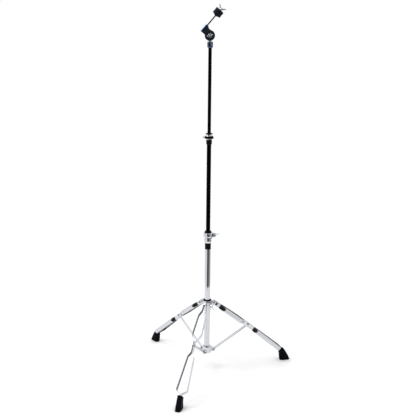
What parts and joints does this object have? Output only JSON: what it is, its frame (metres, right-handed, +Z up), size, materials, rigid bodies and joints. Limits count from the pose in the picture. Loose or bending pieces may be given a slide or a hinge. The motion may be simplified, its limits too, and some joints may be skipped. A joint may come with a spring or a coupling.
{
  "type": "cymbal stand",
  "caption": "Straight cymbal stand: folding tripod of paired pressed legs, telescoping tubes in split clamps, and a toothed tilter with rod, felts and wing nut.",
  "frame": {"origin": "on the floor, at the middle of the footprint's bounding box", "axes": "+Z up the column; -Y is the way leg 1 points; +X to the right seen from leg 1"},
  "size_m": [0.7156, 0.622, 1.6218],
  "materials": {
    "black_chrome": "polished black chrome plate",
    "blue_black": "polished blue-black chrome plate",
    "chrome": "polished chrome plate",
    "felt": "pressed dark felt",
    "nylon": "moulded black nylon",
    "rubber": "moulded dark rubber",
    "steel": "bright plated steel"
  },
  "bodies": {
    "column_base": {"base_tube": "chrome", "base_plug": "nylon", "base_collar": "nylon", "lower_hub": "chrome", "lower_hub_screw": "steel", "lower_clamp": "chrome", "lower_clamp_bush": "nylon", "lower_clamp_bolt": "steel"},
    "brace_1": {"brace_1": "chrome", "brace_1_rivet": "steel"},
    "leg_1": {"leg_1_left_strip": "chrome", "leg_1_right_strip": "chrome", "leg_1_foot": "rubber", "leg_1_hub_rivet": "steel", "leg_1_brace_rivet": "steel"},
    "brace_2": {"brace_2": "chrome", "brace_2_rivet": "steel"},
    "leg_2": {"leg_2_left_strip": "chrome", "leg_2_right_strip": "chrome", "leg_2_foot": "rubber", "leg_2_hub_rivet": "steel", "leg_2_brace_rivet": "steel"},
    "brace_3": {"brace_3": "chrome", "brace_3_rivet": "steel"},
    "leg_3": {"leg_3_left_strip": "chrome", "leg_3_right_strip": "chrome", "leg_3_foot": "rubber", "leg_3_hub_rivet": "steel", "leg_3_brace_rivet": "steel"},
    "sliding_hub": {"sliding_hub": "chrome", "sliding_hub_bush": "nylon"},
    "hub_wing_bolt": {"hub_wing_bolt": "chrome"},
    "lower_clamp_wing_nut": {"lower_clamp_wing_nut": "chrome"},
    "mid_guide": {"mid_tube_guide": "nylon"},
    "mid_section": {"mid_tube": "black_chrome", "mid_clamp": "chrome", "mid_clamp_bush": "nylon", "mid_clamp_bolt": "steel", "mid_clamp_sleeve": "nylon"},
    "mid_clamp_wing_nut": {"mid_clamp_wing_nut": "chrome"},
    "top_guide": {"top_tube_guide": "nylon"},
    "top_section": {"top_tube": "black_chrome", "tilter_base": "blue_black", "neck_ring": "chrome", "tilter_bolt": "steel"},
    "tilter_wing_nut": {"tilter_wing_nut": "chrome"},
    "tilter_head": {"tilter_head": "blue_black", "tilter_spring": "steel", "tilter_washer": "chrome", "cymbal_rod": "black_chrome", "cup_washer": "black_chrome", "cymbal_sleeve": "nylon", "lower_felt": "felt", "upper_felt": "felt"},
    "cymbal_wing_nut": {"cymbal_wing_nut": "chrome"}
  },
  "joints": [
    {"name": "brace_1_fold", "type": "hinge", "parent": "column_base", "child": "brace_1", "pos_m": [0, 0.06755, 0.0865], "axis": [-1, 0, 0], "range_deg": [0, 50.2]},
    {"name": "leg_1_fold", "type": "hinge", "parent": "brace_1", "child": "leg_1", "pos_m": [0, -0.09885, 0.1965], "axis": [1, 0, 0], "range_deg": [0, 97.8]},
    {"name": "hub_level", "type": "hinge", "parent": "leg_1", "child": "sliding_hub", "pos_m": [0, 0.06755, 0.3185], "axis": [-1, 0, 0], "range_deg": [0, 47.5]},
    {"name": "leg_2_fold", "type": "hinge", "parent": "sliding_hub", "child": "leg_2", "pos_m": [0.02685, 0.11405, 0.3185], "axis": [-0.5, 0.866, 0], "range_deg": [0, 47.5]},
    {"name": "brace_2_fold", "type": "hinge", "parent": "column_base", "child": "brace_2", "pos_m": [0.02685, 0.11405, 0.0865], "axis": [0.5, -0.866, 0], "range_deg": [0, 50.3]},
    {"name": "leg_3_fold", "type": "hinge", "parent": "sliding_hub", "child": "leg_3", "pos_m": [-0.02685, 0.11405, 0.3185], "axis": [-0.5, -0.866, 0], "range_deg": [0, 47.5]},
    {"name": "brace_3_fold", "type": "hinge", "parent": "column_base", "child": "brace_3", "pos_m": [-0.02685, 0.11405, 0.0865], "axis": [0.5, 0.866, 0], "range_deg": [0, 50.3]},
    {"name": "hub_wing_bolt_turn", "type": "hinge", "parent": "sliding_hub", "child": "hub_wing_bolt", "pos_m": [0.02234, 0.08565, 0.3085], "axis": [0.866, -0.5, 0], "continuous": true},
    {"name": "lower_clamp_nut_turn", "type": "hinge", "parent": "column_base", "child": "lower_clamp_wing_nut", "pos_m": [0.02906, 0.09907, 0.64], "axis": [0.2857, -0.9583, 0], "continuous": true},
    {"name": "mid_slide", "type": "slide", "parent": "column_base", "child": "mid_guide", "axis": [0, 0, 1], "range_m": [-0.34, 0.1]},
    {"name": "mid_swivel", "type": "hinge", "parent": "mid_guide", "child": "mid_section", "pos_m": [0, 0.09855, 0.464], "axis": [0, 0, 1], "continuous": true},
    {"name": "mid_clamp_nut_turn", "type": "hinge", "parent": "mid_section", "child": "mid_clamp_wing_nut", "pos_m": [-0.01547, 0.12316, 1.0725], "axis": [-0.9583, -0.2857, 0], "continuous": true},
    {"name": "top_slide", "type": "slide", "parent": "mid_section", "child": "top_guide", "axis": [0, 0, 1], "range_m": [-0.34, 0.12]},
    {"name": "top_swivel", "type": "hinge", "parent": "top_guide", "child": "top_section", "pos_m": [0, 0.09855, 0.864], "axis": [0, 0, 1], "continuous": true},
    {"name": "tilter_nut_turn", "type": "hinge", "parent": "top_section", "child": "tilter_wing_nut", "pos_m": [0.00178, 0.08698, 1.4954], "axis": [0.2857, -0.9583, 0], "continuous": true},
    {"name": "tilter_pivot", "type": "hinge", "parent": "top_section", "child": "tilter_head", "pos_m": [-0.00153, 0.09809, 1.4954], "axis": [-0.2857, 0.9583, 0], "range_deg": [-78, 52]},
    {"name": "cymbal_nut_turn", "type": "hinge", "parent": "tilter_head", "child": "cymbal_wing_nut", "pos_m": [0.0386, 0.11006, 1.59761], "axis": [0.6249, 0.1863, 0.7581], "continuous": true}
  ],
  "couplings": [
    {"joint": "leg_1_fold", "follows": "brace_1_fold", "ratio": 1.9444},
    {"joint": "hub_level", "follows": "brace_1_fold", "ratio": 0.9444},
    {"joint": "leg_2_fold", "follows": "brace_1_fold", "ratio": 0.9444},
    {"joint": "brace_2_fold", "follows": "brace_1_fold", "ratio": 1},
    {"joint": "leg_3_fold", "follows": "brace_1_fold", "ratio": 0.9444},
    {"joint": "brace_3_fold", "follows": "brace_1_fold", "ratio": 1}
  ]
}
